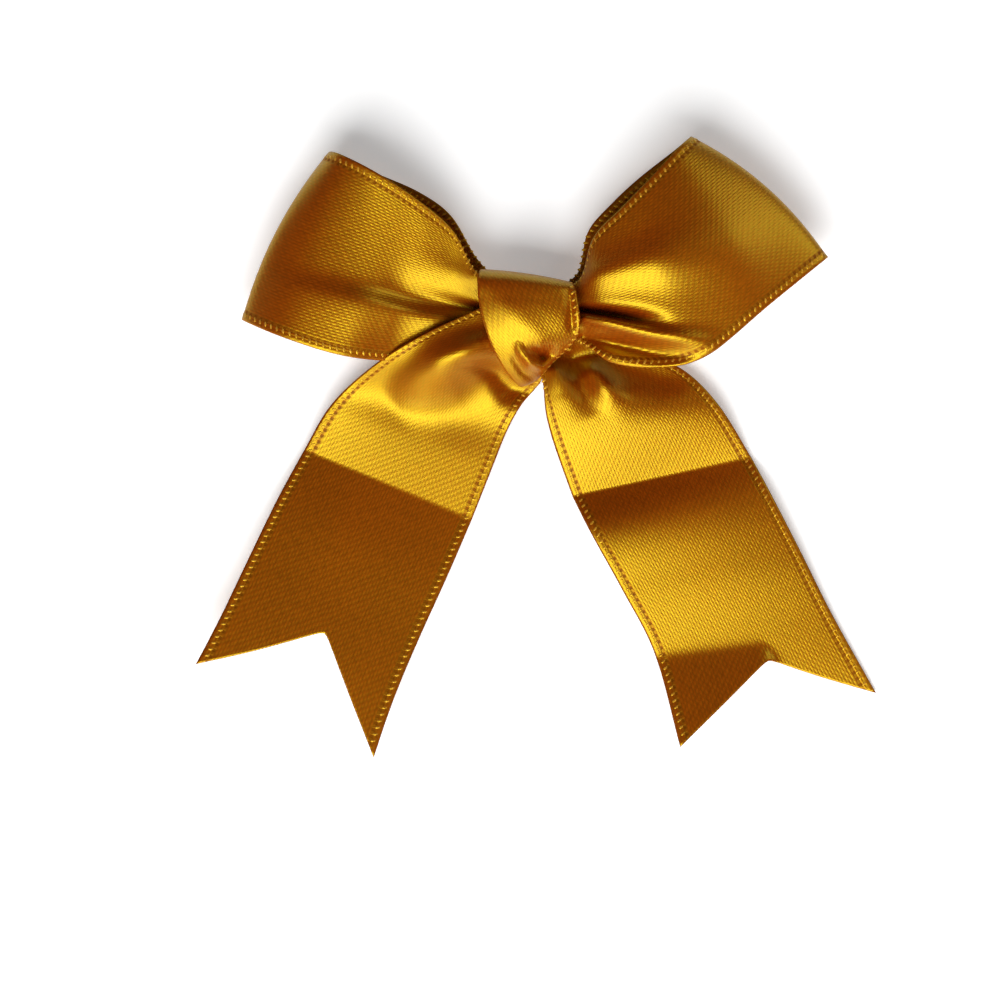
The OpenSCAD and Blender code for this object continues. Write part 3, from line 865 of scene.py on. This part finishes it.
class BowMakeKnot(bpy.types.Operator):
    """Make the band that wraps the knot and the gathered ribbon in it"""
    bl_idname = "gift_bow.make_knot"
    bl_label = "Knot"

    def execute(self, context):
        look = context.scene.bow_ribbon
        table = np.array([np.concatenate(r) for r in KNOT], float)
        count = len(table)
        rung = np.arange(0, count, 1 / KNOT_STEPS)
        ring = spline(np.vstack([table[-2:], table, table[:3]]), 2 + rung)
        v = np.linspace(0, 1, KNOT_COLUMNS)[None, :, None]
        a, b, bow = (ring[:, None, k:k + 3] for k in (0, 3, 6))
        points = a + (b - a) * v + 4 * v * (1 - v) * bow
        turn = rung[:, None] * np.ones((1, KNOT_COLUMNS))
        front = smooth((turn - 1.2) / 1.0) * (1 - smooth((turn - 8.6) / 1.0))
        # The lip, the tuck and the crease at its foot, the rolled right edge, and a soft diagonal
        rise(points, [(-1.7, -3.0), (-1.0, -4.6), (0.3, -6.0), (1.8, -6.5), (3.0, -5.8)],
             (0.6, 0.55, 0.5, 0.5, 0.5), (0.0, 0.7, 1.1, 1.0, 0.4), front)
        rise(points, [(0.9, -4.5), (1.9, -4.9), (3.0, -4.5)],
             (0.6, 0.85, 0.8), (-1.4, -3.0, -1.4), front)
        rise(points, [(-1.8, -5.6), (-0.8, -7.0), (0.5, -7.9)],
             (0.6, 0.6, 0.6), (-0.3, -0.6, -0.4), front)
        rise(points, [(6.1, 3.6), (6.6, 1.2), (6.8, -1.4)], (0.5, 0.55, 0.5), (0.2, 0.7, 0.5), front)
        rise(points, [(5.4, 3.4), (5.7, 1.2), (5.8, -1.2)], (0.5, 0.5, 0.5), (-0.2, -0.5, -0.4), front)
        rise(points, [(-5.6, 4.0), (-2.0, 0.5), (1.5, -3.0)], (1.6, 2.0, 1.4), (0.2, 0.3, 0.2), front)
        # The left side is a fold: the ribbon turns under there
        away = np.cross(np.roll(points, -1, 0)[:, 0] - np.roll(points, 1, 0)[:, 0],
                        points[:, 1] - points[:, 0])
        away /= np.linalg.norm(away, axis=1, keepdims=True)
        inward = points[:, 3] - points[:, 0]
        inward /= np.linalg.norm(inward, axis=1, keepdims=True)
        hem = [points[:, 0] - away * depth + inward * way for depth, way, _ in KNOT_HEM]
        points = np.concatenate([np.stack(hem, 1), points], 1)
        middle = points[:, KNOT_COLUMNS // 2]
        steps = np.linalg.norm(np.diff(middle, axis=0, append=middle[:1]), axis=1)
        along = np.concatenate([[0], np.cumsum(steps)])
        wide = np.concatenate([[place for _, _, place in KNOT_HEM], v[0, :, 0] * KNOT_SHOWN])
        lean = math.radians(KNOT_LEAN)
        flat = np.stack([wide[None, :] * math.cos(lean) + along[:, None] * math.sin(lean),
                         along[:, None] * math.cos(lean) - wide[None, :] * math.sin(lean)], -1)
        piece = shell("knot_ribbon", points, flat, look.thickness, MADE["satin_plain"], closed=True)
        edge = points[:, -2] * 0.6 + points[:, -3] * 0.4
        outward = facing(points, closed=True)[:, -2]
        start, stop = (int(rung * KNOT_STEPS) for rung in KNOT_STITCHED)
        edging = stitches("knot_selvage", [(edge[start:stop], outward[start:stop])], look)
        for part in (piece, edging):
            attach(part, "knot")
        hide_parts("knot_band")
        self.gather(look)
        return {"FINISHED"}

    def gather(self, look):
        """The ribbon's folded layers inside the knot."""
        low, high = (np.array(c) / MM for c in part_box("knot_core"))
        rows, columns, layers = 30, 89, 5
        u = np.linspace(0, 1, rows)[:, None] * np.ones((1, columns))
        w = np.linspace(0, 1, columns)[None, :] * np.ones((rows, 1))
        swing = np.cos(w * layers * math.pi)
        pinch = 1 - 0.12 * np.sin(u * math.pi)
        middle = (low + high) / 2
        half = (high - low) / 2 - 0.3
        points = np.stack([low[0] + 0.2 + (high[0] - low[0] - 0.4) * u,
                           middle[1] + half[1] * swing * pinch,
                           middle[2] + half[2] * (2 * w - 1) * pinch], -1)
        across = np.linspace(0, RIBBON_WIDTH, columns)[None, :] * np.ones((rows, 1))
        flat = np.stack([across, u * (high[0] - low[0])], -1)
        piece = shell("knot_gather", points, flat, look.thickness, MADE["satin_plain"])
        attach(piece, "knot")
        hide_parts("knot_core")


# How far in from the pad's rim its outline runs, at each share of its height
PAD_OUTLINE = ((1.6, 0), (0.7, 0), (0.3, 0.02), (0.12, 0.12), (0.03, 0.3), (0.05, 0.5), (0.02, 0.7),
               (0.1, 0.88), (0.3, 0.98), (0.7, 1), (1.6, 1))
PAD_SIDES = 120
# How far the cut foam's rim strays, and the seed of its strays
RAGGED, SEED = 0.03, 7


def dot(name, outline, sides, material):
    """A round piece from an outline of (radius, height) pairs that starts and ends on its axis."""
    dice = np.random.default_rng(SEED)
    turn = math.tau * np.arange(sides) / sides
    points, faces = [], []
    for radius, height in outline[1:-1]:
        ragged = radius + dice.uniform(-RAGGED, RAGGED, sides)
        points += np.stack([ragged * np.cos(turn), ragged * np.sin(turn),
                            np.full(sides, height)], -1).tolist()
    rings = len(outline) - 2
    foot, crown = len(points), len(points) + 1
    points += [(0, 0, outline[0][1]), (0, 0, outline[-1][1])]
    for k in range(sides):
        after = (k + 1) % sides
        faces += [(foot, after, k), (crown, (rings - 1) * sides + k, (rings - 1) * sides + after)]
        faces += [(r * sides + k, r * sides + after, (r + 1) * sides + after, (r + 1) * sides + k)
                  for r in range(rings - 1)]
    obj = plain_mesh(name, np.array(points) * MM, faces)
    obj.data.shade_smooth()
    obj.data.materials.append(material)
    return obj


class BowMakePad(bpy.types.Operator):
    """Make the foam pad and its peel-off liner"""
    bl_idname = "gift_bow.make_pad"
    bl_label = "Pad and liner"

    def execute(self, context):
        liner = frame["nodes"]["release_liner"].data.materials
        liner.clear()
        liner.append(MADE["liner"])
        low, high = (np.array(c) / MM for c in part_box("foam_pad"))
        radius, foot, top = (high[0] - low[0]) / 2, low[2], high[2]
        rim = [(radius - inward, foot + (top - foot) * share) for inward, share in PAD_OUTLINE]
        pad = dot("foam_dot", [(0, foot), *rim, (0, top)], PAD_SIDES, MADE["foam"])
        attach(pad, "knot")
        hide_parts("foam_pad")
        return {"FINISHED"}


# Half the floor's side, and the spot on it below the middle of the bow, in metres
FLOOR_HALF = 2.0
BOW_MIDDLE = (-0.004, -0.0245, 0)
# Each soft light's place from that spot, its width and height, in metres, and its share of the power
LAMPS = (
    ("window", (-0.09, -0.40, 0.53), 0.55, 0.40, 1.0),
    ("low_fill", (-0.10, -0.62, 0.16), 0.4, 0.2, 0.22),
    ("back_rim", (0.42, 0.26, 0.30), 0.3, 0.2, 0.10),
)
# The camera's lens and film in millimetres, and the width that it sees across the bow in metres
LENS, FILM, SPAN = 90, 36, 0.1374
CAMERA_X, CAMERA_Y, BOW_DEPTH = -0.00386, -0.0245, 0.004


class BowMakeStage(bpy.types.Operator):
    """Make the floor, the soft lights and the camera"""
    bl_idname = "gift_bow.make_stage"
    bl_label = "Stage"

    def execute(self, context):
        scene = context.scene
        stage = scene.bow_stage
        corners = [(x * FLOOR_HALF, y * FLOOR_HALF, 0) for x, y in ((-1, -1), (1, -1), (1, 1), (-1, 1))]
        floor = plain_mesh("floor", corners, [(0, 1, 2, 3)])
        floor.data.materials.append(Finish("floor_white").surface(
            Base_Color=(*stage.floor_colour, 1), Roughness=0.9, Emission_Color=(1, 1, 1, 1),
            Emission_Strength=stage.floor_glow))
        world = bpy.data.worlds.new("studio")
        scene.world = world
        world.use_nodes = True
        sky = world.node_tree.nodes["Background"].inputs
        sky["Color"].default_value, sky["Strength"].default_value = (1, 1, 1, 1), stage.room
        for name, place, width, height, share in LAMPS:
            lamp = bpy.data.lights.new(name, "AREA")
            lamp.shape = "RECTANGLE"
            lamp.energy, lamp.size, lamp.size_y = stage.key_power * share, width, height
            obj = bpy.data.objects.new(name, lamp)
            obj.location = Vector(BOW_MIDDLE) + Vector(place)
            obj.rotation_euler = (-Vector(place)).to_track_quat("-Z", "Y").to_euler()
            scene.collection.objects.link(obj)
        cam = bpy.data.cameras.new("camera")
        cam.lens, cam.sensor_width = LENS, FILM
        view = bpy.data.objects.new("camera", cam)
        scene.collection.objects.link(view)
        view.location = Vector((CAMERA_X, CAMERA_Y, SPAN * LENS / FILM + BOW_DEPTH))
        scene.camera = view
        scene.view_settings.view_transform = "Standard"
        return {"FINISHED"}


class BowPanel(bpy.types.Panel):
    """The bow's settings and pieces"""
    bl_idname = "VIEW3D_PT_gift_bow"
    bl_label = "Gift bow"
    bl_space_type = "VIEW_3D"
    bl_region_type = "UI"
    bl_category = "Gift bow"

    def draw(self, context):
        scene = context.scene
        for owner in (scene.bow_ribbon, scene.bow_pad, scene.bow_stage):
            for key in owner.__annotations__:
                self.layout.prop(owner, key)
        for operator in OPERATORS:
            self.layout.operator(operator.bl_idname)


OPERATORS = (BowMakeLoops, BowMakeTails, BowMakeKnot, BowMakePad, BowMakeStage)
CLASSES = (BowRibbonSettings, BowPadSettings, BowStageSettings, *OPERATORS, BowPanel)


def register():
    for cls in CLASSES:
        bpy.utils.register_class(cls)
    bpy.types.Scene.bow_ribbon = PointerProperty(type=BowRibbonSettings)
    bpy.types.Scene.bow_pad = PointerProperty(type=BowPadSettings)
    bpy.types.Scene.bow_stage = PointerProperty(type=BowStageSettings)


def unregister():
    del bpy.types.Scene.bow_stage
    del bpy.types.Scene.bow_pad
    del bpy.types.Scene.bow_ribbon
    for cls in reversed(CLASSES):
        bpy.utils.unregister_class(cls)


def main():
    register()
    look, pad = bpy.context.scene.bow_ribbon, bpy.context.scene.bow_pad
    MADE.update(satin=satin("gold_satin", look),
                satin_plain=satin("gold_satin_plain", look, edges=False),
                stitch=stitch_thread("selvage_thread", look), foam=foam("white_foam", pad),
                liner=paper("release_paper", pad), stitch_tree=stitch_tree())
    bpy.ops.gift_bow.make_loops()
    bpy.ops.gift_bow.make_tails()
    bpy.ops.gift_bow.make_knot()
    bpy.ops.gift_bow.make_pad()
    bpy.ops.gift_bow.make_stage()


if __name__ == "__main__":
    main()
